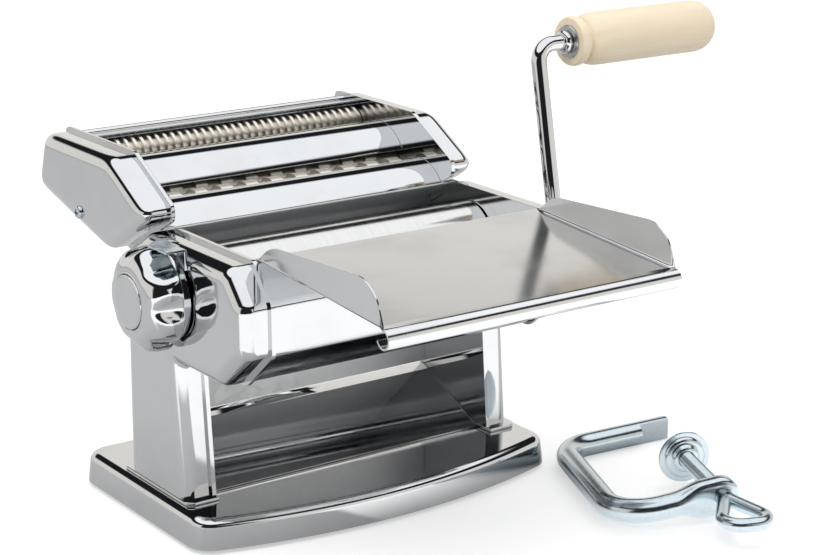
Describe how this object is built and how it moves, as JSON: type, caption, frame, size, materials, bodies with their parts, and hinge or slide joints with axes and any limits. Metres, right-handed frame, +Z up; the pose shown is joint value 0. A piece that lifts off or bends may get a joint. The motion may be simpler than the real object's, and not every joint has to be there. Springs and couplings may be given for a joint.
{
  "type": "pasta machine",
  "caption": "Hand cranked pasta machine: adjustable smooth rollers on a bowed base, lift-off noodle cutter, dough tray, crank with wooden grip and a loose table clamp.",
  "frame": {"origin": "centre of the base's footprint, on the surface that it stands on", "axes": "+X along the rollers towards the crank, -Y to the front where the dough tray is, +Z up"},
  "size_m": [0.298, 0.2879, 0.2064],
  "materials": {
    "chrome": "mirror polished plating on steel sheet",
    "roller": "smooth satin rollers",
    "cutter_disc": "satin nickel, warm",
    "steel": "plain turned steel",
    "zinc": "bright zinc plate, bluish",
    "wood": "clear lacquered beech",
    "rubber": "matte",
    "bronze": "sintered bronze"
  },
  "bodies": {
    "base": {"base_plate": "chrome", "rubber_feet": "rubber", "clamp_socket": "steel", "base_screws": "zinc", "left_side_plate": "chrome", "right_side_plate": "chrome", "left_side_cover": "chrome", "right_side_cover": "chrome", "pillar_flanges": "chrome", "front_apron": "chrome", "rear_panel": "chrome", "exit_ramp": "chrome", "tie_rods": "steel", "front_scraper": "chrome", "roller_bushes": "bronze", "knob_bush": "bronze", "index_plate": "steel", "index_pointer": "zinc"},
    "front_roll": {"front_roller": "roller", "drive_gear": "steel"},
    "crank": {"crank_rod": "chrome", "crank_collar": "chrome"},
    "grip": {"wooden_grip": "wood", "grip_ferrule": "chrome"},
    "carriage": {"left_bearing_block": "steel", "right_bearing_block": "steel", "rear_scraper": "chrome"},
    "rear_roll": {"rear_roller": "roller", "driven_gear": "steel"},
    "gap_adjuster": {"gap_shaft": "steel", "shaft_washer": "steel"},
    "knob": {"adjust_knob": "chrome", "knob_disc": "chrome", "index_pin": "steel", "knob_spring": "steel"},
    "cutter": {"cutter_left_plate": "chrome", "cutter_right_plate": "chrome", "cutter_left_cap": "chrome", "cutter_right_cap": "chrome", "rear_guard": "chrome", "centre_guard": "chrome", "front_guard": "chrome", "cutter_rods": "chrome", "cutter_bushes": "bronze", "cap_screws": "zinc"},
    "fine_drive": {"fine_drive_roller": "cutter_disc", "fine_drive_gear": "steel"},
    "fine_idle": {"fine_idle_roller": "cutter_disc", "fine_idle_gear": "steel"},
    "wide_drive": {"wide_drive_roller": "cutter_disc", "wide_drive_gear": "steel"},
    "wide_idle": {"wide_idle_roller": "cutter_disc", "wide_idle_gear": "steel"},
    "tray": {"dough_tray": "chrome"},
    "clamp": {"clamp_frame": "zinc"},
    "clamp_foot": {"clamp_pad": "zinc"},
    "clamp_spindle": {"clamp_screw": "zinc"}
  },
  "joints": [
    {"name": "crank_turn", "type": "hinge", "parent": "base", "child": "front_roll", "pos_m": [0, -0.0502, 0.105], "axis": [1, 0, 0], "continuous": true},
    {"name": "crank_pull", "type": "slide", "parent": "front_roll", "child": "crank", "axis": [1, 0, 0], "range_m": [0, 0.028]},
    {"name": "grip_spin", "type": "hinge", "parent": "crank", "child": "grip", "pos_m": [0.15, -0.03315, 0.19439], "axis": [1, 0, 0], "continuous": true},
    {"name": "roller_gap", "type": "slide", "parent": "base", "child": "carriage", "axis": [0, -1, 0], "range_m": [0, 0.002]},
    {"name": "rear_roller_spin", "type": "hinge", "parent": "carriage", "child": "rear_roll", "pos_m": [0, -0.013, 0.105], "axis": [1, 0, 0], "continuous": true},
    {"name": "knob_turn", "type": "hinge", "parent": "base", "child": "gap_adjuster", "pos_m": [-0.09, -0.014, 0.105], "axis": [1, 0, 0], "range_deg": [0, 120.01]},
    {"name": "knob_pull", "type": "slide", "parent": "gap_adjuster", "child": "knob", "axis": [-1, 0, 0], "range_m": [0, 0.003], "stiffness_N_per_m": 900, "springref_m": -0.003, "deforming": ["knob_spring"]},
    {"name": "cutter_lift", "type": "slide", "parent": "base", "child": "cutter", "axis": [0, 0.4819, 0.8762], "range_m": [0, 0.06]},
    {"name": "fine_drive_turn", "type": "hinge", "parent": "cutter", "child": "fine_drive", "pos_m": [0, 0.0814, 0.143], "axis": [1, 0, 0], "continuous": true},
    {"name": "fine_idle_turn", "type": "hinge", "parent": "cutter", "child": "fine_idle", "pos_m": [0, 0.06858, 0.1356], "axis": [1, 0, 0], "continuous": true},
    {"name": "wide_drive_turn", "type": "hinge", "parent": "cutter", "child": "wide_drive", "pos_m": [0, 0.0354, 0.1266], "axis": [1, 0, 0], "continuous": true},
    {"name": "wide_idle_turn", "type": "hinge", "parent": "cutter", "child": "wide_idle", "pos_m": [0, 0.04997, 0.12917], "axis": [1, 0, 0], "continuous": true},
    {"name": "tray_lift", "type": "slide", "parent": "base", "child": "tray", "axis": [0, 0, 1], "range_m": [0, 0.06]},
    {"name": "clamp_slide", "type": "slide", "parent": "base", "child": "clamp", "axis": [0, -1, 0], "range_m": [0, 0.08]},
    {"name": "clamp_feed", "type": "slide", "parent": "clamp", "child": "clamp_foot", "axis": [-0.3778, -0.9259, 0], "range_m": [0, 0.03]},
    {"name": "clamp_screw_turn", "type": "hinge", "parent": "clamp_foot", "child": "clamp_spindle", "pos_m": [0.12092, -0.11893, 0.0125], "axis": [-0.3778, -0.9259, 0], "range_deg": [0, 6171.9]}
  ],
  "couplings": [
    {"joint": "rear_roller_spin", "follows": "crank_turn", "ratio": -1},
    {"joint": "knob_turn", "follows": "roller_gap", "rad_per_m": 1047.2},
    {"joint": "fine_idle_turn", "follows": "fine_drive_turn", "ratio": -1},
    {"joint": "wide_idle_turn", "follows": "wide_drive_turn", "ratio": -1},
    {"joint": "clamp_screw_turn", "follows": "clamp_feed", "rad_per_m": 3590.4}
  ]
}
